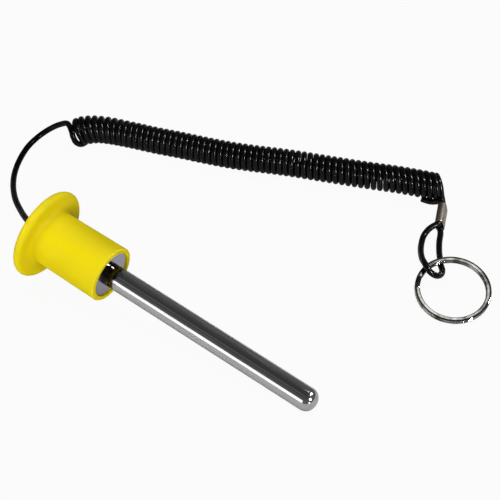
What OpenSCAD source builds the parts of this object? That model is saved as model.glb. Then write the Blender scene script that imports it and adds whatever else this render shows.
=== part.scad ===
// Magnetic weight stack pin: a moulded knob on a chromed steel pin, with a ring magnet in the knob's
// front and a curly lanyard that ends in a crimped loop and a split ring.
// It lies as it comes to rest, on its flange's rim and its tip, with the pin's tip towards +X.

/* [Knob] */
// Diameter of the flange at the knob's back
flange_d = 38.4; // [32:0.2:50]
// Radius of the flange's rounded rim
rim_r = 2; // [1.6:0.1:3.2]
// Height of the crown on the flange's back
crown_h = 0.8; // [0.4:0.1:1.5]
// Depth of the dish in the flange's front
dish_h = 0.8; // [0.2:0.1:1.2]
// Diameter of the barrel where it meets the flange
barrel_root_d = 23.2; // [20:0.2:25]
// Diameter of the barrel at its front edge
barrel_front_d = 23.8; // [22:0.2:27]
// Length of the knob from its back to its front edge
knob_len = 36.5; // [34:0.5:50]
// Radius of the barrel's rounded front edge
front_edge_r = 0.7; // [0.4:0.1:1.6]
// Radius of the fillet between barrel and flange
root_fillet_r = 3.5; // [0.8:0.1:4]
// Thickness of the wall that the cord's stop pulls against
back_wall = 5; // [3:0.5:8]
// Radius of the rounded mouth of the cord's hole
mouth_r = 1; // [0.4:0.1:1.6]

/* [Selector pin] */
// Diameter of the shank
pin_d = 9.525; // [9:0.025:12]
// Length of the pin in front of the knob
pin_reach = 98; // [60:1:140]
// Radius of the rounding at the tip
tip_r = 4.2; // [2:0.1:4.4]
// Diameter of the spigot that the knob and the magnet sit on
spigot_d = 8; // [7.6:0.1:8.6]
// Free length of the pocket between the spigot's end and the cord's stop
stop_room = 2.4; // [0.4:0.2:6]
// Width of the chamfer on the spigot's end
spigot_chamfer = 0.4; // [0.2:0.1:0.6]

/* [Magnet] */
// Outer diameter of the ring magnet
magnet_d = 19.5; // [16:0.25:19.5]
// Thickness of the ring magnet
magnet_t = 5; // [3:0.5:6]
// How far the magnet's face lies behind the knob's front edge
magnet_sink = 0.6; // [0.2:0.1:1.5]
// Radius of the magnet's rounded edges
magnet_edge_r = 0.4; // [0.2:0.1:0.8]

/* [Cord] */
// Diameter of the cord
cord_d = 2.6; // [2.2:0.1:2.8]
// Outer diameter of the curly stretch
coil_d = 12.2; // [10:0.2:13]
// Diameter of the stop crimped on the cord's inner end
stop_d = 6; // [5:0.1:6.4]
// Length of the stop
stop_len = 5; // [3:0.5:6]
// Radius of the stop's rounded ends
stop_edge_r = 0.5; // [0.2:0.1:0.8]

/* [Crimp] */
// Length of the folded crimp that closes the cord's loop
crimp_len = 11.5; // [8:0.5:14]
// Thickness of its sheet
sheet_t = 0.4; // [0.3:0.05:0.8]
// Width of the seam where its two edges face each other
seam_w = 1.4; // [0.6:0.1:2]

/* [Split ring] */
// Outer diameter of the ring
ring_d = 31; // [30:0.25:32]
// Width of its flat wire, measured along the radius
ring_wire_w = 2.2; // [1.6:0.1:2.4]
// Thickness of its flat wire
ring_wire_t = 1.05; // [0.8:0.05:1.1]
// Radius of the wire's rounded edges
ring_wire_edge_r = 0.45; // [0.1:0.05:0.5]
// Angle over which the wire steps from the lower turn to the upper one
crank_angle = 22; // [14:1:36]
// Angle left open at each of the wire's ends
end_gap_angle = 2; // [1:0.5:4]

/* [Fits] */
// Gap round pieces that are bonded in
bond_gap = 0.1; // [0.05:0.05:0.2]
// Gap round the cord in a hole or in the crimp
cord_gap = 0.15; // [0.1:0.05:0.25]
// Gap between the split ring's two turns
turn_gap = 0.04; // [0.02:0.01:0.1]

/* [Hidden] */
$fn = 96;
// How far every cut runs past the face that it opens
overrun = 1;
up = [0, 0, 1];

// Radii
flange_r = flange_d / 2;
barrel_root_r = barrel_root_d / 2;
barrel_front_r = barrel_front_d / 2;
pin_r = pin_d / 2;
spigot_r = spigot_d / 2;
magnet_r = magnet_d / 2;
cord_r = cord_d / 2;
coil_r = coil_d / 2;
stop_r = stop_d / 2;

// Places along the axis, from the crown of the knob's back towards the tip
rim_s = crown_h + rim_r;
rim_centre_r = flange_r - rim_r;
crest_s = crown_h + 2 * rim_r;
dish_s = crest_s - dish_h;
crown_arc_r = (rim_centre_r * rim_centre_r + crown_h * crown_h) / (2 * crown_h);
shoulder_s = knob_len - magnet_sink;
magnet_seat_s = shoulder_s - magnet_t;
stop_end_s = back_wall + stop_len;
spigot_end_s = stop_end_s + stop_room;
tip_s = knob_len + pin_reach;
tip_centre_s = tip_s - tip_r;
tip_centre_r = pin_r - tip_r;

// The lean at which the rim's rounding and the tip's rounding both touch the table
drop_r = rim_centre_r - tip_centre_r;
run_s = tip_centre_s - rim_s;
lean = atan2(drop_r, run_s) + asin((rim_r - tip_r) / norm([run_s, drop_r]));
lift = rim_s * sin(lean) + rim_centre_r * cos(lean) + rim_r;
back_x = rim_s * cos(lean) - rim_centre_r * sin(lean) - rim_r;
front_x = tip_centre_s * cos(lean) + tip_centre_r * sin(lean) + tip_r;
mid_x = (back_x + front_x) / 2;

// A point on the leaning axis, in the part's frame
function axis_at(s) = [s * cos(lean) - mid_x, 0, lift - s * sin(lean)];

// The crimp stands on its folded edge, with its two strands one above the other
crimp_at = [54.5, 116.2];
crimp_heading = -67;
crimp_lean = 14;
strand_pitch = cord_d + 2 * cord_gap;
crimp_bore_r = cord_r + cord_gap;
crimp_r = crimp_bore_r + sheet_t;
crimp_along = [cos(crimp_heading), sin(crimp_heading), 0];
crimp_across = sin(crimp_lean) * cross(up, crimp_along) - cos(crimp_lean) * up;
crimp_z = crimp_r + strand_pitch / 2 * cos(crimp_lean);
crimp_centre = [crimp_at.x, crimp_at.y, crimp_z];

// A point on a strand in the crimp: layer 1 is the lower strand, and end runs from -1 to 1
function strand_at(layer, end) = crimp_centre + layer * strand_pitch / 2 * crimp_across
    + end * crimp_len / 2 * crimp_along;

// Route of the curly stretch's axis on the table, from the knob's end to the ring's end
coil_route = [[-106, 64.4], [-103.2, 68.8], [-99.5, 72.4], [-93.5, 75.6], [-84, 79], [-73, 82.4],
              [-62.4, 86.1], [-51.6, 89.6], [-41, 93.3], [-31, 97.5], [-16.4, 104.2], [-1.3, 110.3],
              [13.5, 116.3], [28, 122.4], [38, 126], [44.1, 127.9]];
coil_top_z = coil_d - cord_r;
coil_path = [for (p = coil_route) [p.x, p.y, coil_r]];
coil_start = [coil_route[0].x, coil_route[0].y, coil_top_z];
coil_end = [coil_route[len(coil_route) - 1].x, coil_route[len(coil_route) - 1].y, coil_top_z];
coil_start_along = unit(coil_path[1] - coil_path[0]);
coil_end_along = unit(coil_path[len(coil_path) - 1] - coil_path[len(coil_path) - 2]);

// Route of the lead: out of the knob's back, down to the table and up onto the first turn
lead_route = [[-76.6, 2.2, 18.2], [-85.8, 8, 13.6], [-95.3, 14.6, 9.6], [-103.3, 21.5, 6.2],
              [-109.3, 27.7, 3.6], [-113.5, 32.9, 2], [-116.6, 38, 1.4], [-118.9, 43.3, 1.4],
              [-120.9, 49.8, 1.4], [-121.2, 55.7, 1.9], [-119.8, 60.1, 3.3], [-117.2, 62.9, 5.4],
              [-113.5, 64.5, 8], [-109.3, 64.8, 10.2]];
lead_stub = 6;
lead_path = concat([axis_at(stop_end_s), axis_at(back_wall), axis_at(0), axis_at(-lead_stub)], lead_route,
                   [coil_start]);

// Route of the tail: down from the last turn into the crimp, then the loop round the ring and back
drop_route = [[45.7, 128.1, 10.5], [47.6, 126.7, 8.4], [48.9, 125.7, 5.6], [50.2, 124.9, 3.2]];
loop_route = [[58.6, 108.8, 1.8], [60.8, 104, 1.7], [63.8, 98.6, 2.2], [66.6, 94.2, 3.2], [68.8, 90.7, 3.9],
              [70.6, 89, 3.6], [71.7, 86.3, 3.9], [71.3, 83.2, 5.3], [69.7, 81.4, 7.3], [67.8, 81.2, 8.8],
              [65.8, 82.5, 9.4], [62.6, 85.9, 7.6], [58.4, 92.3, 4.6], [55.6, 97.9, 2.9], [54, 103.4, 2.6],
              [54.6, 108, 3.8]];
tail_path = concat([coil_end], drop_route, [strand_at(1, -1), strand_at(1, 1)], loop_route,
                   [strand_at(-1, 1), strand_at(-1, -1)]);

// The split ring leans on the loop and touches the table with its near edge
ring_at = [80, 81.2];
ring_heading = 35.4;
ring_tilt = 11.5;
ring_split_at = 150;
ring_r = ring_d / 2;
ring_mid_r = ring_r - ring_wire_w / 2;
turn_rise = (ring_wire_t + turn_gap) / 2;
ring_half_h = turn_rise + ring_wire_t / 2;
ring_z = (ring_r - ring_wire_edge_r) * sin(ring_tilt) + (ring_half_h - ring_wire_edge_r) * cos(ring_tilt)
    + ring_wire_edge_r;
ring_steps_per_turn = 80;

// Sweeps
tube_sides = 8;
coil_sides = 12;

function unit(v) = v / norm(v);

// Direction of a path at point i: the chord between its neighbours
function heading_at(path, i) = unit(path[min(i + 1, len(path) - 1)] - path[max(i - 1, 0)]);

// One ring of a tube, square to a direction
function tube_ring(centre, along, radius, sides) =
    let (side = unit(cross(along, up)), top = cross(side, along))
    [for (k = [0:sides - 1]) centre + radius * (cos(360 * k / sides) * side + sin(360 * k / sides) * top)];

// Faces of a swept solid of count rings with the same number of points each
function sweep_faces(count, sides) = concat(
    [[for (k = [0:sides - 1]) k]],
    [for (i = [0:count - 2], k = [0:sides - 1], half = [0, 1])
        let (a = i * sides + k, b = i * sides + (k + 1) % sides)
        half == 0 ? [a, a + sides, b] : [b, a + sides, b + sides]],
    [[for (k = [sides - 1:-1:0]) (count - 1) * sides + k]]);

// Tube along a path whose end faces may be turned to lie flat on what they meet
module tube(path, radius, sides, first_along, last_along) {
    last = len(path) - 1;
    rings = [for (i = [0:last])
        let (along = i == 0 ? first_along : i == last ? last_along : heading_at(path, i))
        tube_ring(path[i], along, radius, sides)];
    polyhedron([for (ring = rings) each ring], sweep_faces(len(path), sides), convexity = 8);
}

// Puts a shape that is built along +Z from the knob's back into its resting pose
module lie() {
    translate([-mid_x, 0, lift])
        rotate([0, 90 + lean, 0])
            children();
}

// Rectangle from the axis outwards, between two places along the axis
module bar(radius, from_s, to_s) {
    translate([0, from_s])
        square([radius, to_s - from_s]);
}

// Sleeve section with four rounded corners
module sleeve_section(inner_r, outer_r, from_s, to_s, edge_r) {
    translate([inner_r, from_s + edge_r])
        square([outer_r - inner_r, to_s - from_s - 2 * edge_r]);
    translate([inner_r + edge_r, from_s])
        square([outer_r - inner_r - 2 * edge_r, to_s - from_s]);
    for (r = [inner_r + edge_r, outer_r - edge_r], s = [from_s + edge_r, to_s - edge_r])
        translate([r, s])
            circle(r = edge_r);
}

// Outer half section of the knob: crowned back, round rim, dished front, fillet and drafted barrel
module knob_outline() {
    fillet_r = barrel_root_r + root_fillet_r;
    fillet_s = crest_s - dish_h * (rim_centre_r - fillet_r) / (rim_centre_r - barrel_root_r) + root_fillet_r;
    edge_centre_s = knob_len - front_edge_r;
    edge_centre_r = barrel_front_r - front_edge_r;
    intersection() {
        translate([0, crown_arc_r])
            circle(r = crown_arc_r, $fn = 360);
        bar(rim_centre_r, 0, rim_s);
    }
    translate([rim_centre_r, rim_s])
        circle(r = rim_r);
    polygon([[0, crown_h], [rim_centre_r, crown_h], [rim_centre_r, crest_s],
             [barrel_root_r, dish_s], [0, dish_s]]);
    polygon([[0, rim_s], [barrel_root_r, rim_s], [barrel_root_r, dish_s],
             [barrel_front_r, edge_centre_s], [0, edge_centre_s]]);
    bar(edge_centre_r, rim_s, knob_len);
    translate([edge_centre_r, edge_centre_s])
        circle(r = front_edge_r);
    difference() {
        bar(fillet_r, rim_s, fillet_s);
        translate([fillet_r, fillet_s])
            circle(r = root_fillet_r);
    }
}

// Half section of what is bored out of the knob
module knob_bores() {
    hole_r = cord_r + cord_gap;
    bar(magnet_r + bond_gap, magnet_seat_s, knob_len + overrun);
    bar(spigot_r + bond_gap, spigot_end_s, magnet_seat_s + overrun);
    bar(stop_r + cord_gap, back_wall, spigot_end_s + overrun);
    bar(hole_r, -overrun, back_wall + overrun);
    difference() {
        bar(hole_r + mouth_r, -overrun, mouth_r);
        translate([hole_r + mouth_r, mouth_r])
            circle(r = mouth_r);
    }
}

// Yellow moulded knob, with its bores for the magnet, the spigot, the cord's stop and the cord
module knob() {
    color([0.93, 0.84, 0.08])
        lie()
            rotate_extrude()
                difference() {
                    knob_outline();
                    knob_bores();
                }
}

// Chromed pin: a shank with a rounded tip, and a spigot whose shoulder holds the magnet in its seat
module selector_pin() {
    color([0.72, 0.73, 0.75])
        lie()
            rotate_extrude()
                union() {
                    polygon([[0, spigot_end_s], [spigot_r - spigot_chamfer, spigot_end_s],
                             [spigot_r, spigot_end_s + spigot_chamfer],
                             [spigot_r, shoulder_s], [0, shoulder_s]]);
                    bar(pin_r, shoulder_s, tip_centre_s);
                    bar(tip_centre_r, shoulder_s, tip_s);
                    intersection() {
                        translate([tip_centre_r, tip_centre_s])
                            circle(r = tip_r);
                        bar(pin_r, shoulder_s, tip_s);
                    }
                }
}

// Plated ring magnet in its seat in the knob's front
module ring_magnet() {
    color([0.62, 0.62, 0.68])
        lie()
            rotate_extrude()
                sleeve_section(spigot_r + bond_gap, magnet_r, magnet_seat_s, shoulder_s, magnet_edge_r);
}

// Stop on the cord's inner end, pulled against the knob's back wall
module stop_ferrule() {
    color([0.6, 0.6, 0.62])
        lie()
            rotate_extrude()
                sleeve_section(cord_r + cord_gap, stop_r, back_wall, stop_end_s, stop_edge_r);
}

// Straight lead of the cord, from the stop to the first turn
module cord_lead() {
    color([0.05, 0.05, 0.05])
        tube(lead_path, cord_r, tube_sides, heading_at(lead_path, 0), coil_start_along);
}

// Outer shape of the curly stretch
module cord_coil() {
    color([0.07, 0.07, 0.07])
        tube(coil_path, coil_r, coil_sides, coil_start_along, coil_end_along);
}

// Tail of the cord, with the loop that carries the split ring
module cord_tail() {
    color([0.05, 0.05, 0.05])
        tube(tail_path, cord_r, tube_sides, coil_end_along, -crimp_along);
}

// Round-ended section of the crimp, for one radius round both strands
module strand_slot(radius) {
    for (side = [-1, 1])
        translate([side * strand_pitch / 2, 0])
            circle(r = radius);
    square([strand_pitch, 2 * radius], center = true);
}

// Folded sheet crimp, open along its seam on the lower edge
module end_ferrule() {
    color([0.62, 0.6, 0.56])
        translate(crimp_centre)
            rotate([0, 90, crimp_heading])
                rotate([0, 0, crimp_lean])
                    linear_extrude(crimp_len, center = true)
                        difference() {
                            strand_slot(crimp_r);
                            strand_slot(crimp_bore_r);
                            translate([strand_pitch / 2 + crimp_r, 0])
                                square([2 * crimp_r, seam_w], center = true);
                        }
}

// Height of the ring's wire at an angle along its two turns, with a smooth crank between the turns
function crank_share(angle) = min(1, max(0, (angle - 360 + crank_angle) / crank_angle));
function wire_z(angle) = turn_rise * -cos(180 * crank_share(angle));

// Section of the flat wire as [radius, height] offsets, with a short arc at each corner
corner_steps = 2;
wire_section = [for (corner = [0:3], step = [0:corner_steps])
    let (turn = 90 * (corner + step / corner_steps),
         across = (corner == 0 || corner == 3) ? 1 : -1,
         above = corner < 2 ? 1 : -1)
    [across * (ring_wire_w / 2 - ring_wire_edge_r) + ring_wire_edge_r * cos(turn),
     above * (ring_wire_t / 2 - ring_wire_edge_r) + ring_wire_edge_r * sin(turn)]];

// Split ring: flat wire wound through two turns
module split_ring() {
    first_angle = end_gap_angle;
    last_angle = 720 - crank_angle - end_gap_angle;
    steps = round(ring_steps_per_turn * (last_angle - first_angle) / 360);
    angles = [for (i = [0:steps]) first_angle + (last_angle - first_angle) * i / steps];
    points = [for (a = angles, q = wire_section)
        [(ring_mid_r + q.x) * cos(a), (ring_mid_r + q.x) * sin(a), wire_z(a) + q.y]];
    color([0.7, 0.7, 0.72])
        translate([ring_at.x, ring_at.y, ring_z])
            rotate([ring_tilt, 0, ring_heading])
                rotate([0, 0, ring_split_at])
                    polyhedron(points, sweep_faces(len(angles), len(wire_section)), convexity = 8);
}

knob();
selector_pin();
ring_magnet();
stop_ferrule();
cord_lead();
cord_coil();
cord_tail();
end_ferrule();
split_ring();
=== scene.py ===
import math

import bpy
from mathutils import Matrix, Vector


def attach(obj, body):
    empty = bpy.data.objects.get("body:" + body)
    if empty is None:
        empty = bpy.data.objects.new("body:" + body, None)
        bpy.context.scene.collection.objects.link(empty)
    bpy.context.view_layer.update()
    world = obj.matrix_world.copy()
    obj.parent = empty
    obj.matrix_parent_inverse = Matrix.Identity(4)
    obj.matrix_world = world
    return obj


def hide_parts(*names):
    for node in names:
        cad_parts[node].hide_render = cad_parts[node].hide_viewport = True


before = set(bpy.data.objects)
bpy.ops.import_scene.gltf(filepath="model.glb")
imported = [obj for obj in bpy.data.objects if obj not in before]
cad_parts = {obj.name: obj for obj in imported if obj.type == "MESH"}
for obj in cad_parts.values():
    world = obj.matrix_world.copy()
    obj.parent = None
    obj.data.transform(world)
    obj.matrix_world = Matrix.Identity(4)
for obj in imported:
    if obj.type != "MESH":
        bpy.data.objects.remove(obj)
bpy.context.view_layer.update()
mm = 0.001  # the dictionaries below give the pieces in mm and degrees
print("frame loaded, nodes:", len(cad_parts))

# camera at the photograph's angle
shot = {"azimuth": 35.39, "elevation": 45.36, "distance": 0.585, "lens": 100.5, "sensor": 36,
        "aim": (-0.0022, 0.05546, 0.0)}


def addCamera(spec):
    turn, rise = math.radians(spec["azimuth"]), math.radians(spec["elevation"])
    back = Vector((math.sin(turn) * math.cos(rise), -math.cos(turn) * math.cos(rise), math.sin(rise)))
    bpy.ops.object.camera_add(location=Vector(spec["aim"]) + back * spec["distance"])
    camera = bpy.context.object
    camera.rotation_mode = "QUATERNION"
    camera.rotation_quaternion = (-back).to_track_quat("-Z", "Y")
    camera.data.sensor_width = spec["sensor"]
    camera.data.lens = spec["lens"]
    bpy.context.scene.camera = camera


bpy.ops.object.select_all(action="DESELECT")
addCamera(shot)
print("camera set")

# the pin and knob lie on the rim and the tip, so their axis leans
rest = {"lean": math.radians(6.45416), "lift": 19.405731 * mm, "midX": 66.293117 * mm}


def axisAt(s):  # a place on the leaning axis, s in mm from the knob's back
    run, drop = s * mm * math.cos(rest["lean"]), s * mm * math.sin(rest["lean"])
    return Vector((run - rest["midX"], 0, rest["lift"] - drop))


def smoothThrough(points, gap):  # close points on one smooth curve through the given ones
    line = [2 * points[0] - points[1]] + list(points) + [2 * points[-1] - points[-2]]
    dense = []
    for p0, p1, p2, p3 in zip(line, line[1:], line[2:], line[3:]):
        t1 = (p1 - p0).length ** 0.5
        t2 = t1 + (p2 - p1).length ** 0.5
        t3 = t2 + (p3 - p2).length ** 0.5
        count = max(1, round((p2 - p1).length / gap))
        for k in range(count):
            t = t1 + (t2 - t1) * k / count
            a1 = p0 * ((t1 - t) / t1) + p1 * (t / t1)
            a2 = p1 * ((t2 - t) / (t2 - t1)) + p2 * ((t - t1) / (t2 - t1))
            a3 = p2 * ((t3 - t) / (t3 - t2)) + p3 * ((t - t2) / (t3 - t2))
            b1 = a1 * ((t2 - t) / t2) + a2 * (t / t2)
            b2 = a2 * ((t3 - t) / (t3 - t1)) + a3 * ((t - t1) / (t3 - t1))
            dense.append(b1 * ((t2 - t) / (t2 - t1)) + b2 * ((t - t1) / (t2 - t1)))
    dense.append(points[-1].copy())
    return dense


# crimp, where two strands of the cord lie one above the other
crimp = {"place": (54.5, 116.2), "heading": -67.0, "lean": 14.0, "length": 11.5, "strandPitch": 2.9,
         "bore": 1.45, "sheet": 0.4, "seam": 1.4, "foldSteps": 8, "slices": 12,
         "edge": 0.09, "edgeSteps": 2, "edgeAngle": 50}


def strandAt(layer, end):  # layer 1 is the lower strand, end runs from -1 to 1
    heading, lean = math.radians(crimp["heading"]), math.radians(crimp["lean"])
    across = Vector((-math.sin(lean) * math.sin(heading), math.sin(lean) * math.cos(heading), -math.cos(lean)))
    along = Vector((math.cos(heading), math.sin(heading), 0))
    rise = crimp["bore"] + crimp["sheet"] + crimp["strandPitch"] / 2 * math.cos(lean)
    centre = Vector((crimp["place"][0], crimp["place"][1], rise))
    return centre + across * (layer * crimp["strandPitch"] / 2) + along * (end * crimp["length"] / 2)


# one curly cord: lead out of the knob, coil on the table, tail looped round the split ring
cord = {
    "width": 2.6, "sides": 6, "coilAcross": 12.2, "turns": 62, "pointsPerTurn": 24, "axisGap": 0.5, "pointGap": 1.0,
    "evenSpan": 24, "trim": 3, "easeTurns": 0.5,
    # the coil's start: turns drawn open, slanted and a little wide, the first one loose
    "openPitch": 2.75, "openTurns": 9.0, "openCurve": 0.7, "startSlant": 1.7, "slantTurns": 10.0,
    "startGrow": 0.55, "growTurns": 9.0, "growIn": 2.0, "startSwell": 0.6, "startLoop": 2.8, "startBow": 2.1,
    # the coil's end: turns that slant and lie on the cord's free end
    "endLift": 0.35, "liftTurns": 10.0, "endSlant": 2.0, "endSlantTurns": 24.0, "endReach": 2.2,
    "inKnob": (10, 5, 0, -6),  # places on the knob's axis
    "lead": [(-76.6, 2.2, 18.2), (-85.8, 8, 13.6), (-95.3, 14.6, 9.6), (-103.3, 21.5, 6.2), (-109.3, 27.7, 3.6),
             (-113.5, 32.9, 2), (-116.6, 38, 1.4), (-118.9, 43.3, 1.4), (-120.9, 49.8, 1.4), (-121.2, 55.7, 1.9),
             (-119.8, 60.1, 3.3), (-117.2, 62.9, 5.4), (-113.5, 64.5, 8), (-109.3, 64.8, 10.2)],
    "coil": [(-106, 64.4), (-103.2, 68.8), (-99.5, 72.4), (-93.5, 75.6), (-84, 79), (-73, 82.4), (-62.4, 86.1),
             (-51.6, 89.6), (-41, 93.3), (-31, 97.5), (-16.4, 104.2), (-1.3, 110.3), (13.5, 116.3), (28, 122.4),
             (38, 126), (44.1, 127.9)],
    "drop": [(45.7, 128.1, 10.5), (47.6, 126.7, 8.4), (48.9, 125.7, 5.6), (50.2, 124.9, 3.2)],
    "loop": [(58.6, 108.8, 1.8), (60.8, 104, 1.7), (63.8, 98.6, 2.2), (66.6, 94.2, 3.2), (68.8, 90.7, 3.9),
             (70.6, 89, 3.6), (71.7, 86.3, 3.9), (71.3, 83.2, 5.3), (69.7, 81.4, 7.3), (67.8, 81.2, 8.8),
             (65.8, 82.5, 9.4), (62.6, 85.9, 7.6), (58.4, 92.3, 4.6), (55.6, 97.9, 2.9), (54, 102.8, 2.8),
             (54.4, 106.4, 4), (55.6, 109.2, 4.6)],
    "stub": [(51.5, 122.1, 4.9), (49.9, 122.8, 4.6), (48.2, 123.1, 3.4), (46.4, 123.2, 2.2), (44.6, 123.2, 1.5),
             (42.8, 123, 1.35), (41.2, 122.8, 1.35)],
}


def fading(way, span):  # 1 at the start, down to 0 at the end of the span
    return max(0.0, 1 - way / span)


def coilTurns(spec):  # centreline of the coil, in mm, from the top of the first turn to the top of the last
    coilR = spec["coilAcross"] / 2
    turnR = coilR - spec["width"] / 2
    axis = smoothThrough([Vector((x, y, coilR)) for x, y in spec["coil"]], spec["axisGap"])
    reach = [0.0]
    for a, b in zip(axis, axis[1:]):
        reach.append(reach[-1] + (b - a).length)
    # the first turns are drawn open, the others lie side by side
    stops = [0.0]
    for n in range(spec["turns"]):
        share = 1 + (spec["openPitch"] / spec["width"] - 1) * fading(n, spec["openTurns"]) ** spec["openCurve"]
        stops.append(stops[-1] + share)
    up = Vector((0, 0, 1))
    steps, ease = spec["pointsPerTurn"], spec["easeTurns"]
    line, mark = [], 0
    for i in range(spec["turns"] * steps + 1):
        done = i / steps
        left = spec["turns"] - done
        angle = 2 * math.pi * i / steps
        # the place on the coil's axis and the directions there
        turn = min(i // steps, spec["turns"] - 1)
        s = (stops[turn] + (stops[turn + 1] - stops[turn]) * (done - turn)) / stops[-1] * reach[-1]
        while mark < len(axis) - 2 and reach[mark + 1] < s:
            mark += 1
        slide = (s - reach[mark]) / (reach[mark + 1] - reach[mark])
        near, far = max(0, mark - spec["evenSpan"]), min(len(axis) - 1, mark + spec["evenSpan"])
        along = (axis[far] - axis[near]).normalized()
        aside = up.cross(along)
        # what sets the first and the last turns apart
        loose = fading(abs(done - ease), ease)
        grow = spec["startGrow"] * fading(done, spec["growTurns"]) * min(1.0, done / spec["growIn"])
        radius = turnR + spec["startSwell"] * loose + grow
        lift = spec["endLift"] * fading(left, spec["liftTurns"])  # the last turns lie on the cord's end
        slant = spec["startSlant"] * fading(done, spec["slantTurns"]) * min(1.0, done / ease)
        late = fading(left, spec["endSlantTurns"]) * min(1.0, left / ease)
        centre = axis[mark].lerp(axis[mark + 1], slide) + Vector((0, 0, radius - turnR + lift))
        centre -= aside * (spec["startSwell"] * loose)
        centre += along * (spec["endSlant"] * late * math.sin(angle) - slant * math.cos(angle))
        centre += along * (spec["endReach"] * late + spec["startLoop"] * loose)
        if i < steps / 2:  # the first strand bows out before it goes under
            centre -= along * (spec["startBow"] * math.sin(angle))
        line.append(centre + radius * (math.cos(angle) * up - math.sin(angle) * aside))
    return line


def drawCord(spec):
    lead = [axisAt(s) / mm for s in spec["inKnob"]] + [Vector(p) for p in spec["lead"]]
    turns = coilTurns(spec)
    tail = [Vector(p) for p in spec["drop"]] + [strandAt(1, -1), strandAt(1, 1)]
    tail += [Vector(p) for p in spec["loop"]] + [strandAt(-1, 1), strandAt(-1, -1)]
    tail += [Vector(p) for p in spec["stub"]]
    trim = spec["trim"]  # points of the coil's ends that are left to the smooth curve
    start = smoothThrough(lead + turns[trim:2 * trim], spec["pointGap"])[:-1]
    finish = smoothThrough(turns[-2 * trim:-trim] + tail, spec["pointGap"])[1:]
    points = start + turns[2 * trim:-2 * trim] + finish
    path = bpy.data.curves.new("curlyCord", "CURVE")
    path.dimensions = "3D"
    path.bevel_depth = 1.0  # each point's radius gives the width
    path.bevel_resolution = spec["sides"]
    path.use_fill_caps = True
    spline = path.splines.new("POLY")
    spline.points.add(len(points) - 1)
    for point, place in zip(spline.points, points):
        point.co = (*(place * mm), 1)
        point.radius = spec["width"] / 2 * mm
    spline.use_smooth = True
    piece = bpy.data.objects.new("curlyCord", path)
    bpy.context.scene.collection.objects.link(piece)
    length = sum((b - a).length for a, b in zip(points, points[1:])) * mm
    return piece, length


cordPiece, cordLength = drawCord(cord)
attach(cordPiece, "pin_body")
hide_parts("cord_lead", "cord_coil", "cord_tail")
print("cord drawn, length", round(cordLength, 3))

# shared by the modelled pieces
weldGap = 0.002 * mm  # points closer than this become one
crease = 32  # edges that turn more than this many degrees stay sharp


def startPoint(name, place):
    bpy.ops.object.select_all(action="DESELECT")
    bpy.ops.mesh.primitive_plane_add(size=mm, location=place)
    piece = bpy.context.object
    piece.name = piece.data.name = name
    bpy.ops.object.transform_apply(location=True, rotation=False, scale=False)
    bpy.ops.object.mode_set(mode="EDIT")
    bpy.ops.mesh.select_all(action="SELECT")
    bpy.ops.mesh.merge(type="CENTER")
    return piece


def drawChain(points):  # extrudes the chosen point from place to place
    for a, b in zip(points, points[1:]):
        bpy.ops.mesh.extrude_vertices_move(TRANSFORM_OT_translate={"value": tuple(b - a)})


def closeMesh(angle):
    bpy.ops.mesh.select_all(action="SELECT")
    bpy.ops.mesh.remove_doubles(threshold=weldGap)
    bpy.ops.mesh.normals_make_consistent(inside=False)
    bpy.ops.object.mode_set(mode="OBJECT")
    bpy.ops.object.shade_smooth_by_angle(angle=math.radians(angle))


def setDown(piece, turn, place=(0, 0, 0)):  # turns and moves the mesh, and the object stays at the origin
    piece.rotation_euler = turn
    piece.location = place
    bpy.ops.object.transform_apply(location=True, rotation=True, scale=False)


def arc(centreR, centreS, radius, first, last, steps):
    turns = [math.radians(first + (last - first) * k / steps) for k in range(steps + 1)]
    return [(centreR + radius * math.cos(t), centreS + radius * math.sin(t)) for t in turns]


def markSpots(piece, name, spots):  # how near each point is to the given rings, each with its reach
    values = []
    for vertex in piece.data.vertices:
        r, s = math.hypot(vertex.co.x, vertex.co.y) / mm, vertex.co.z / mm
        values.append(max(fading(math.hypot(r - spotR, s - spotS), reach) for spotR, spotS, reach in spots))
    layer = piece.data.attributes.new(name, "FLOAT", "POINT")
    layer.data.foreach_set("value", values)


# pieces turned about the axis: half an outline is drawn, then spun
def turnPiece(name, outline, sides, rubSpots, paintedShadeSpots=()):
    points = [Vector((r, 0, s)) * mm for r, s in outline]
    piece = startPoint(name, points[0])
    drawChain(points)
    bpy.ops.mesh.select_all(action="SELECT")
    bpy.ops.mesh.spin(steps=sides, angle=2 * math.pi, center=(0, 0, 0), axis=(0, 0, 1))
    closeMesh(crease)
    markSpots(piece, "rub", rubSpots)  # rubbed by hands and by the stack
    # painted shade: darkens the pin's root where it meets the magnet
    if paintedShadeSpots:
        markSpots(piece, "paintedShade", paintedShadeSpots)
    setDown(piece, (0, math.pi / 2 + rest["lean"], 0), (-rest["midX"], 0, rest["lift"]))
    return piece


# moulded knob: crowned back, rounded rim, dished front, tapered barrel, pocket for the magnet
knob = {"rimCentre": 17.2, "rimR": 2.0, "rimS": 2.8, "rimFrom": -84, "rimTo": 97, "rimSteps": 30,
        "crownArc": 185.3, "crownSteps": 10, "rootR": 11.6, "frontR": 11.9, "length": 36.5,
        "filletR": 2.6, "filletAt": (14.2, 6.971), "filletFrom": 268, "filletTo": 182, "filletSteps": 12,
        "midShare": 0.4, "midShift": 3, "edgeR": 0.7, "edgeSteps": 12,
        "pocketR": 9.85, "pocketS": 30.9, "pocketEdge": 0.2, "pocketSteps": 4, "spigotR": 4.1, "spigotS": 12.4,
        "stopR": 3.15, "stopS": 5.0, "holeR": 1.45, "mouthR": 1.0, "mouthSteps": 8,
        "sides": 160, "rubSpots": [(19.2, 2.8, 2.2), (11.7, 36.2, 1.1)]}


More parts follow.
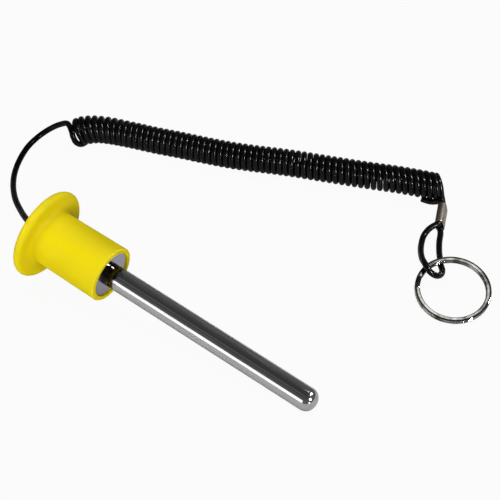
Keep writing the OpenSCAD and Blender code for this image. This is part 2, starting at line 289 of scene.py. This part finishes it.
def knobOutline(spec):
    mouth = spec["holeR"] + spec["mouthR"]
    outline = arc(mouth, spec["mouthR"], spec["mouthR"], 180, 270, spec["mouthSteps"])
    for k in range(1, spec["crownSteps"]):  # crowned back
        r = mouth + (spec["rimCentre"] - mouth) * k / spec["crownSteps"]
        outline.append((r, spec["crownArc"] - math.sqrt(spec["crownArc"] ** 2 - r * r)))
    outline += arc(spec["rimCentre"], spec["rimS"], spec["rimR"], spec["rimFrom"], spec["rimTo"], spec["rimSteps"])
    outline += arc(*spec["filletAt"], spec["filletR"], spec["filletFrom"], spec["filletTo"], spec["filletSteps"])
    edgeS, pocketTop = spec["length"] - spec["edgeR"], spec["length"] - spec["pocketEdge"]
    midR = spec["rootR"] + spec["midShare"] * (spec["frontR"] - spec["rootR"])
    outline.append((midR, spec["midShare"] * edgeS + spec["midShift"]))  # one ring along the barrel
    outline += arc(spec["frontR"] - spec["edgeR"], edgeS, spec["edgeR"], 0, 90, spec["edgeSteps"])
    outline += arc(spec["pocketR"] + spec["pocketEdge"], pocketTop, spec["pocketEdge"], 90, 180, spec["pocketSteps"])
    outline += [(spec["pocketR"], spec["pocketS"]), (spec["spigotR"], spec["pocketS"])]
    outline += [(spec["spigotR"], spec["spigotS"]), (spec["stopR"], spec["spigotS"])]
    outline += [(spec["stopR"], spec["stopS"]), (spec["holeR"], spec["stopS"]), outline[0]]
    return outline


knobPiece = turnPiece("mouldedKnob", knobOutline(knob), knob["sides"], knob["rubSpots"])
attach(knobPiece, "pin_body")
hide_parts("knob")
print("knob turned, faces", len(knobPiece.data.polygons))

# chromed pin: spigot in the knob, rounded shoulder on the magnet, rounded tip
# the second list of spots darkens the pin's root next to the magnet as painted shade
shank = {"r": 4.7625, "spigotR": 4.0, "spigotS": 12.4, "chamfer": 0.4,
         "shoulderS": 35.9, "shoulderR": 0.12, "shoulderSteps": 8,
         "paintedShadeRings": (0.7, 1.4, 2.1, 2.8, 3.5, 5), "stretches": 8,
         "tipS": 134.5, "tipR": 4.2, "tipSteps": 24, "sides": 160,
         "rubSpots": [(3.2, 133.5, 3.4)], "paintedShadeSpots": [(4.76, 36.6, 4), (4.76, 39.0, 4)]}


def shankOutline(spec):
    shoulderS, shoulderR = spec["shoulderS"], spec["shoulderR"]
    tipR, tipS = spec["r"] - spec["tipR"], spec["tipS"] - spec["tipR"]
    outline = [(0, spec["spigotS"]), (spec["spigotR"] - spec["chamfer"], spec["spigotS"]),
               (spec["spigotR"], spec["spigotS"] + spec["chamfer"]), (spec["spigotR"], shoulderS)]
    outline += arc(spec["r"] - shoulderR, shoulderS + shoulderR, shoulderR, 270, 360, spec["shoulderSteps"])
    outline += [(spec["r"], shoulderS + k) for k in spec["paintedShadeRings"]]  # close together, to hold the painted shade at the pin's root
    count = spec["stretches"]
    outline += [(spec["r"], shoulderS + (tipS - shoulderS) * k / count) for k in range(1, count)]
    return outline + arc(tipR, tipS, spec["tipR"], 0, 90, spec["tipSteps"]) + [(0, spec["tipS"])]


shankPiece = turnPiece("chromedPin", shankOutline(shank), shank["sides"], shank["rubSpots"], shank["paintedShadeSpots"])
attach(shankPiece, "pin_body")
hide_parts("selector_pin")
print("pin turned, faces", len(shankPiece.data.polygons))

# plated ring magnet, a little below the barrel's front
magnet = {"inner": 4.1, "outer": 9.75, "backS": 30.9, "frontS": 35.9, "edgeR": 0.4, "backSteps": 4, "frontSteps": 6,
          "sides": 160, "rubSpots": [(9.65, 35.8, 0.6)]}


def magnetOutline(spec):
    inner, outer, edge = spec["inner"] + spec["edgeR"], spec["outer"] - spec["edgeR"], spec["edgeR"]
    back, front = spec["backS"] + edge, spec["frontS"] - edge
    outline = arc(inner, back, edge, 180, 270, spec["backSteps"]) + arc(outer, back, edge, 270, 360, spec["backSteps"])
    outline += arc(outer, front, edge, 0, 90, spec["frontSteps"]) + arc(inner, front, edge, 90, 180, spec["frontSteps"])
    return outline + [outline[0]]


magnetPiece = turnPiece("platedMagnet", magnetOutline(magnet), magnet["sides"], magnet["rubSpots"])
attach(magnetPiece, "pin_body")
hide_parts("ring_magnet")
print("magnet turned, faces", len(magnetPiece.data.polygons))


# crimp: a strip of sheet folded round both strands, open along its lower edge
def foldCrimp(spec):
    half, bend = spec["strandPitch"] / 2, spec["bore"] + spec["sheet"] / 2
    lip = math.degrees(math.asin(spec["seam"] / 2 / bend))
    fold = arc(half, 0, bend, lip, 90, spec["foldSteps"]) + [(0, bend)]
    fold += arc(-half, 0, bend, 90, 270, 2 * spec["foldSteps"]) + [(0, -bend)]
    fold += arc(half, 0, bend, 270, 360 - lip, spec["foldSteps"])
    points = [Vector((x, y, -spec["length"] / 2)) * mm for x, y in fold]
    piece = startPoint("foldedCrimp", points[0])
    drawChain(points)
    bpy.ops.mesh.select_all(action="SELECT")
    sliceDepth = spec["length"] / spec["slices"] * mm
    for _ in range(spec["slices"]):
        bpy.ops.mesh.extrude_edges_move(TRANSFORM_OT_translate={"value": (0, 0, sliceDepth)})
    bpy.ops.mesh.select_all(action="SELECT")
    bpy.ops.mesh.normals_make_consistent(inside=False)
    bpy.ops.object.mode_set(mode="OBJECT")
    wall = piece.modifiers.new("wall", "SOLIDIFY")
    wall.thickness, wall.offset = spec["sheet"] * mm, 0
    brake = piece.modifiers.new("edges", "BEVEL")
    brake.width, brake.segments, brake.limit_method = spec["edge"] * mm, spec["edgeSteps"], "ANGLE"
    brake.angle_limit = math.radians(spec["edgeAngle"])
    for step in ("wall", "edges"):
        bpy.ops.object.modifier_apply(modifier=step)
    bpy.ops.object.shade_smooth_by_angle(angle=math.radians(crease))
    setDown(piece, (0, 0, math.radians(spec["lean"])))
    setDown(piece, (0, math.pi / 2, math.radians(spec["heading"])), (strandAt(1, 0) + strandAt(-1, 0)) / 2 * mm)
    return piece


crimpPiece = foldCrimp(crimp)
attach(crimpPiece, "pin_body")
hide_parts("end_ferrule")
print("crimp folded, faces", len(crimpPiece.data.polygons))

# split ring: flat wire wound through two turns, with a crank between them
ring = {"place": (80, 81.2, 4.059), "heading": 35.4, "tilt": 11.5, "split": 150.0, "midR": 14.4, "wireW": 2.2,
        "wireT": 1.05, "wireEdge": 0.45, "edgeSteps": 5, "turnGap": 0.04, "crank": 22.0, "endGap": 2.0,
        "turnSteps": 120, "crankSteps": 14, "crease": 40}


def wind(angle, steps):  # sweeps the chosen outline about the upright axis
    bpy.ops.mesh.spin(steps=steps, angle=math.radians(angle), center=(0, 0, 0), axis=(0, 0, 1))


def windRing(spec):
    bpy.ops.object.select_all(action="DESELECT")
    rise = (spec["wireT"] + spec["turnGap"]) / 2
    bpy.ops.mesh.primitive_plane_add(size=1, location=(spec["midR"] * mm, 0, -rise * mm),
                                     rotation=(math.pi / 2, 0, 0))
    piece = bpy.context.object
    piece.name = piece.data.name = "splitRing"
    piece.scale = (spec["wireW"] * mm, spec["wireT"] * mm, 1)
    bpy.ops.object.transform_apply(location=True, rotation=True, scale=True)
    bpy.ops.object.mode_set(mode="EDIT")
    bpy.ops.mesh.select_all(action="SELECT")
    bpy.ops.mesh.bevel(offset=spec["wireEdge"] * mm, segments=spec["edgeSteps"], affect="VERTICES")
    bpy.ops.mesh.select_all(action="SELECT")
    plainTurn, count = 360 - spec["crank"] - spec["endGap"], spec["crankSteps"]
    wind(plainTurn, spec["turnSteps"])
    for k in range(count):  # up to the second turn
        wind(spec["crank"] / count, 1)
        lift = math.cos(math.pi * k / count) - math.cos(math.pi * (k + 1) / count)
        bpy.ops.transform.translate(value=(0, 0, lift * rise * mm))
    wind(plainTurn, spec["turnSteps"])
    closeMesh(spec["crease"])
    setDown(piece, (0, 0, math.radians(spec["split"] + spec["endGap"])))
    setDown(piece, (math.radians(spec["tilt"]), 0, math.radians(spec["heading"])), Vector(spec["place"]) * mm)
    return piece


ringPiece = windRing(ring)
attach(ringPiece, "key_ring_body")
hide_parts("split_ring")
print("ring wound, faces", len(ringPiece.data.polygons))


# finishes
def tint(*levels):  # a colour as it looks on screen, red, green and blue from 0 to 255
    return tuple((c / 255 / 12.92 if c < 11 else ((c / 255 + 0.055) / 1.055) ** 2.4) for c in levels) + (1,)


def addNode(tree, kind, inputs=None, **settings):
    node = tree.nodes.new(kind)
    for key, value in settings.items():
        setattr(node, key, value)
    for key, value in (inputs or {}).items():
        if isinstance(value, bpy.types.NodeSocket):
            tree.links.new(value, node.inputs[key])
        else:
            node.inputs[key].default_value = value
    return node


def newEffect(name, takes, gives):  # a node group that takes a vector and some values, and gives one value
    tree = bpy.data.node_groups.new(name, "ShaderNodeTree")
    tree.interface.new_socket(name="Vector", in_out="INPUT", socket_type="NodeSocketVector")
    for label in takes:
        tree.interface.new_socket(name=label, in_out="INPUT", socket_type="NodeSocketFloat")
    tree.interface.new_socket(name=gives, in_out="OUTPUT", socket_type="NodeSocketFloat")
    return tree, tree.nodes.new("NodeGroupInput").outputs, tree.nodes.new("NodeGroupOutput").inputs


def addCloud(tree, takes, detail, roughness):
    return addNode(tree, "ShaderNodeTexNoise", {"Vector": takes["Vector"], "Scale": takes["Scale"], "Detail": detail,
                                                "Roughness": roughness}).outputs["Fac"]


def addRamp(tree, value, start, end):  # 0 at the start, 1 at the end
    return addNode(tree, "ShaderNodeMapRange", {"Value": value, "From Min": start, "From Max": end},
                   clamp=True).outputs["Result"]


def patchyMarks():  # soft blotches, as hands leave them
    tree, takes, gives = newEffect("patchyMarks", ["Scale", "Low", "High"], "Mask")
    cloud = addCloud(tree, takes, detail=4.0, roughness=0.6)
    tree.links.new(addRamp(tree, cloud, start=takes["Low"], end=takes["High"]), gives["Mask"])
    return tree


def edgeWearAndShade():  # wear on edges, broken up by a cloud; the pin's root also gets its painted shade through it
    tree, takes, gives = newEffect("edgeWearAndShade", ["Edge", "Scale"], "Mask")
    cloud = addCloud(tree, takes, detail=5.0, roughness=0.7)
    both = addNode(tree, "ShaderNodeMath", {0: takes["Edge"], 1: cloud}, operation="ADD")
    tree.links.new(addRamp(tree, both.outputs["Value"], start=0.95, end=1.5), gives["Mask"])
    return tree


def hairLines():  # fine scratches; the vector is stretched along them
    tree, takes, gives = newEffect("hairLines", ["Scale", "Width"], "Mask")
    cloud = addCloud(tree, takes, detail=2.0, roughness=0.5)
    off = addNode(tree, "ShaderNodeMath", {0: cloud, 1: 0.5}, operation="SUBTRACT")
    far = addNode(tree, "ShaderNodeMath", {0: off.outputs["Value"]}, operation="ABSOLUTE")
    tree.links.new(addRamp(tree, far.outputs["Value"], start=takes["Width"], end=0.0), gives["Mask"])
    return tree


def fineGrain():  # small relief of a moulded or rolled surface
    tree, takes, gives = newEffect("fineGrain", ["Scale"], "Height")
    tree.links.new(addCloud(tree, takes, detail=3.0, roughness=0.55), gives["Height"])
    return tree


effects = {"patchyMarks": patchyMarks(), "edgeWearAndShade": edgeWearAndShade(), "hairLines": hairLines(), "fineGrain": fineGrain()}


class Finish:
    # one material: a shader, object coordinates and the shared effects
    def __init__(self, name, place=(0, 0, 0), turn=(0, 0, 0), **plain):
        self.material = bpy.data.materials.new(name)
        self.material.use_nodes = True
        self.tree = self.material.node_tree
        self.tree.nodes.clear()
        self.shader = addNode(self.tree, "ShaderNodeBsdfPrincipled", plain)
        addNode(self.tree, "ShaderNodeOutputMaterial", {"Surface": self.shader.outputs["BSDF"]})
        where = addNode(self.tree, "ShaderNodeTexCoord")
        mapping = addNode(self.tree, "ShaderNodeMapping", {"Vector": where.outputs["Object"], "Location": place,
                                                           "Rotation": turn}, vector_type="TEXTURE")
        self.spot = mapping.outputs["Vector"]

    def effect(self, name, **inputs):
        node = addNode(self.tree, "ShaderNodeGroup", {"Vector": self.spot, **inputs}, node_tree=effects[name])
        return node.outputs[0]

    # mask from a marked attribute: wear for "rub", painted shade at the pin's root for the pin's other mark
    def rub(self, scale, mark="rub"):
        edge = addNode(self.tree, "ShaderNodeAttribute", attribute_name=mark)
        return self.effect("edgeWearAndShade", Edge=edge.outputs["Fac"], Scale=scale)

    def stretched(self, x, y, z):
        return addNode(self.tree, "ShaderNodeVectorMath", {0: self.spot, 1: (x, y, z)},
                       operation="MULTIPLY").outputs["Vector"]

    def share(self, mask, amount):
        return addNode(self.tree, "ShaderNodeMath", {0: mask, 1: amount}, operation="MULTIPLY").outputs["Value"]

    def plus(self, first, second):
        return addNode(self.tree, "ShaderNodeMath", {0: first, 1: second}, operation="ADD").outputs["Value"]

    def blend(self, mask, first, second):  # the Mix node's colours are sockets 6 and 7, its colour output is 2
        return addNode(self.tree, "ShaderNodeMix", {"Factor": mask, 6: first, 7: second}, data_type="RGBA").outputs[2]

    def span(self, mask, low, high, start=0.0, end=1.0):
        return addNode(self.tree, "ShaderNodeMapRange", {"Value": mask, "From Min": start, "From Max": end,
                                                         "To Min": low, "To Max": high}, clamp=True).outputs["Result"]

    def bump(self, height, strength, depth):
        node = addNode(self.tree, "ShaderNodeBump", {"Height": height, "Strength": strength, "Distance": depth})
        self.feed("Normal", node.outputs["Normal"])

    def feed(self, socket, value):
        self.tree.links.new(value, self.shader.inputs[socket])

    def onto(self, piece):
        piece.data.materials.clear()
        piece.data.materials.append(self.material)


axisTurn = (0, rest["lean"], 0)  # X of these finishes runs along the pin
axisPlace = (-rest["midX"], 0, rest["lift"])

# yellow moulded plastic, low gloss
yellow = Finish("knobPlastic", axisPlace, axisTurn, **{"IOR": 1.49, "Specular IOR Level": 0.1})
hands = yellow.effect("patchyMarks", Scale=70.0, Low=0.35, High=0.7)
worn = yellow.rub(scale=900.0)
yellowBase = yellow.blend(yellow.share(hands, 0.5), tint(240, 219, 8), tint(232, 208, 4))
yellow.feed("Base Color", yellow.blend(yellow.share(worn, 0.3), yellowBase, tint(246, 230, 66)))
yellow.feed("Roughness", yellow.plus(yellow.span(hands, low=0.48, high=0.58), yellow.share(worn, 0.1)))
yellow.bump(yellow.effect("fineGrain", Scale=2600.0), strength=0.12, depth=0.00004)
yellow.onto(knobPiece)

# chrome with fine lines from the stack's holes
chrome = Finish("pinChrome", axisPlace, axisTurn, **{"Metallic": 1.0})
smears = chrome.effect("patchyMarks", Scale=55.0, Low=0.4, High=0.75)
lines = chrome.effect("hairLines", Vector=chrome.stretched(0.02, 1, 1), Scale=2200.0, Width=0.03)
chromeRub = chrome.rub(scale=700.0)
chromeBase = chrome.blend(chrome.share(smears, 0.5), tint(244, 244, 246), tint(230, 229, 229))
chromeWorn = chrome.blend(chrome.share(chromeRub, 0.25), chromeBase, tint(206, 202, 197))
chromePaintedShade = chrome.rub(scale=500.0, mark="paintedShade")  # painted shade: dark where the pin meets the magnet
chrome.feed("Base Color", chrome.blend(chrome.share(chromePaintedShade, 2.0), chromeWorn, tint(66, 62, 56)))
scuffs = chrome.effect("patchyMarks", Vector=chrome.stretched(0.07, 1, 1), Scale=620.0, Low=0.48, High=0.68)
chromeDull = chrome.plus(chrome.share(scuffs, 0.16), chrome.share(lines, 0.06))  # dulled along its length
chrome.feed("Roughness", chrome.plus(chrome.span(smears, low=0.07, high=0.12), chromeDull))
chrome.bump(lines, strength=0.04, depth=0.00001)
chrome.onto(shankPiece)

# nickel plating of the magnet
nickel = Finish("magnetPlating", axisPlace, axisTurn, **{"Metallic": 1.0})
nickelMarks = nickel.effect("patchyMarks", Scale=260.0, Low=0.35, High=0.7)
nickelRub = nickel.rub(scale=1500.0)
nickelBase = nickel.blend(nickel.share(nickelMarks, 0.6), tint(222, 219, 240), tint(206, 204, 226))
nickel.feed("Base Color", nickel.blend(nickel.share(nickelRub, 0.4), nickelBase, tint(150, 146, 148)))
nickel.feed("Roughness", nickel.span(nickelMarks, low=0.07, high=0.16))
nickel.bump(nickel.effect("fineGrain", Scale=1800.0), strength=0.03, depth=0.00001)
nickel.onto(magnetPiece)

# black jacket, glossy on the coil and duller on the lead
jacket = Finish("cordJacket", **{"IOR": 1.5})
leadToCoil = (0.055, 0.067)  # between these Y, in metres, the lead gives way to the coil
dust = jacket.effect("patchyMarks", Scale=140.0, Low=0.45, High=0.8)
jacket.feed("Base Color", jacket.blend(jacket.share(dust, 0.35), tint(4, 4, 5), tint(18, 18, 19)))
jacket.feed("Roughness", jacket.span(dust, low=0.22, high=0.32))
jacketSides = addNode(jacket.tree, "ShaderNodeSeparateXYZ", {"Vector": jacket.spot})
jacket.feed("Specular IOR Level", jacket.span(jacketSides.outputs["Y"], 0.04, 0.3, *leadToCoil))
jacket.bump(jacket.effect("fineGrain", Scale=900.0), strength=0.03, depth=0.00003)
jacket.onto(cordPiece)

# crimp of plain sheet metal
sheet = Finish("crimpMetal", **{"Metallic": 1.0})
press = sheet.effect("patchyMarks", Scale=420.0, Low=0.3, High=0.7)
sheet.feed("Base Color", sheet.blend(press, tint(198, 188, 176), tint(164, 155, 144)))
sheet.feed("Roughness", sheet.span(press, low=0.32, high=0.5))
sheet.bump(sheet.effect("fineGrain", Scale=2400.0), strength=0.15, depth=0.00004)
sheet.onto(crimpPiece)

# bright steel of the ring
steel = Finish("ringSteel", **{"Metallic": 1.0})
toneAndPaintedReflection = steel.effect("patchyMarks", Scale=130.0, Low=0.42, High=0.6)  # uneven tone, with dark and light patches made strong enough to serve as painted reflections of the surroundings
steel.feed("Base Color", steel.blend(toneAndPaintedReflection, tint(232, 230, 227), tint(124, 120, 114)))
steel.feed("Roughness", steel.span(toneAndPaintedReflection, low=0.03, high=0.07))
steel.bump(steel.effect("fineGrain", Scale=120.0), strength=0.4, depth=0.00015)  # tumbled, a little wavy
steel.onto(ringPiece)

# sleeve on the cord's inner end, out of sight in the knob
sleeve = Finish("stopMetal", axisPlace, axisTurn, **{"Metallic": 1.0})
squeeze = sleeve.effect("patchyMarks", Scale=500.0, Low=0.3, High=0.7)
sleeve.feed("Base Color", sleeve.blend(squeeze, tint(178, 176, 172), tint(148, 146, 142)))
sleeve.feed("Roughness", sleeve.span(squeeze, low=0.3, high=0.45))
sleeve.bump(sleeve.effect("fineGrain", Scale=2200.0), strength=0.1, depth=0.00003)
sleeve.onto(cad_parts["stop_ferrule"])
print("finishes made:", len(bpy.data.materials))

# floor, lamps and surroundings
stage = {"floorSize": 12.0, "floorDrop": 0.0002, "floorTint": (164, 164, 163), "whiteShare": 0.95, "mirrorShare": 0.1,
         "lampAim": (0, 0.05, 0), "sky": [(0.0, 0.06), (0.2, 0.1), (0.5, 0.085), (1.0, 0.035)]}
# direction, distance, width, height, power, what it lights
lamps = {"keyRight": ((0.494, 0.508, 0.705), 1.3, 0.18, 0.18, 10.0, "gloss"),
         "keyNear": ((0.875, -0.177, 0.451), 1.3, 0.18, 0.18, 10.0, "gloss"),
         "keyLow": ((0.89, -0.452, 0.03), 1.3, 0.08, 0.08, 0.7, "gloss"),
         "whiteCard": ((-0.28, -0.92, 0.22), 1.0, 0.62, 0.42, 0.9, "both"),
         "skyStrip": ((-0.119, -0.389, 0.914), 1.2, 0.8, 0.12, 0.018, "gloss"),
         "ringCard": ((0.142, 0.426, 0.894), 0.369, 0.075, 0.075, 0.013, "gloss"),
         "softFront": ((-0.3, -0.88, 0.18), 1.2, 0.9, 0.9, 7.0, "colour"),
         "softRight": ((0.85, -0.4, 0.1), 1.3, 0.9, 0.9, 14.0, "colour"),
         "softTop": ((-0.1, 0.25, 1.0), 1.5, 1.6, 1.6, 17.0, "colour")}


def layFloor(spec):  # white to the camera, dim in reflections, grey as a surface that bounces light
    bpy.ops.object.select_all(action="DESELECT")
    bpy.ops.mesh.primitive_plane_add(size=spec["floorSize"], location=(0, 0, -spec["floorDrop"]))
    floor = bpy.context.object
    floor.name = "floor"
    bpy.ops.object.transform_apply(location=True, rotation=False, scale=False)
    paint = bpy.data.materials.new("paleFloor")
    paint.use_nodes = True
    tree = paint.node_tree
    tree.nodes.clear()
    rays = addNode(tree, "ShaderNodeLightPath").outputs
    mirrored = addNode(tree, "ShaderNodeMath", {0: rays["Is Glossy Ray"], 1: rays["Is Transmission Ray"]},
                       operation="MAXIMUM")
    seen = addNode(tree, "ShaderNodeMath", {0: rays["Is Camera Ray"], 1: spec["whiteShare"]}, operation="MULTIPLY")
    either = addNode(tree, "ShaderNodeMath", {0: mirrored.outputs["Value"], 1: spec["mirrorShare"],
                                              2: seen.outputs["Value"]}, operation="MULTIPLY_ADD")
    matte = addNode(tree, "ShaderNodeBsdfDiffuse", {"Color": tint(*spec["floorTint"])})
    glow = addNode(tree, "ShaderNodeEmission")
    mix = addNode(tree, "ShaderNodeMixShader", {0: either.outputs["Value"], 1: matte.outputs["BSDF"],
                                                2: glow.outputs["Emission"]})
    addNode(tree, "ShaderNodeOutputMaterial", {"Surface": mix.outputs["Shader"]})
    floor.data.materials.append(paint)


def hangLamp(name, direction, distance, width, height, power, lights):
    way = Vector(direction).normalized()
    bpy.ops.object.light_add(type="AREA", location=Vector(stage["lampAim"]) + way * distance)
    lamp = bpy.context.object
    lamp.name = name
    lamp.rotation_mode = "QUATERNION"
    lamp.rotation_quaternion = (-way).to_track_quat("-Z", "Y")
    lamp.data.shape = "RECTANGLE" if width > height else "DISK"
    lamp.data.size, lamp.data.size_y, lamp.data.energy = width, height, power
    lamp.visible_camera, lamp.visible_glossy, lamp.visible_diffuse = False, lights != "colour", lights != "gloss"


def paintSky(spec):  # a dim room, a little lighter low down
    world = bpy.context.scene.world or bpy.data.worlds.new("room")
    bpy.context.scene.world = world
    world.use_nodes = True
    tree = world.node_tree
    tree.nodes.clear()
    where = addNode(tree, "ShaderNodeTexCoord")
    parts = addNode(tree, "ShaderNodeSeparateXYZ", {"Vector": where.outputs["Generated"]})
    ramp = addNode(tree, "ShaderNodeValToRGB", {"Fac": parts.outputs["Z"]})
    marks = ramp.color_ramp.elements
    while len(marks) < len(spec["sky"]):
        marks.new(0.5)
    for mark, (height, level) in zip(marks, spec["sky"]):
        mark.position, mark.color = height, (level, level, level, 1)
    sky = addNode(tree, "ShaderNodeBackground", {"Color": ramp.outputs["Color"]})
    addNode(tree, "ShaderNodeOutputWorld", {"Surface": sky.outputs["Background"]})


layFloor(stage)
for name, spec in lamps.items():
    hangLamp(name, *spec)
paintSky(stage)
bpy.context.scene.view_settings.view_transform = "Standard"
print("stage set")

bpy.context.view_layer.update()
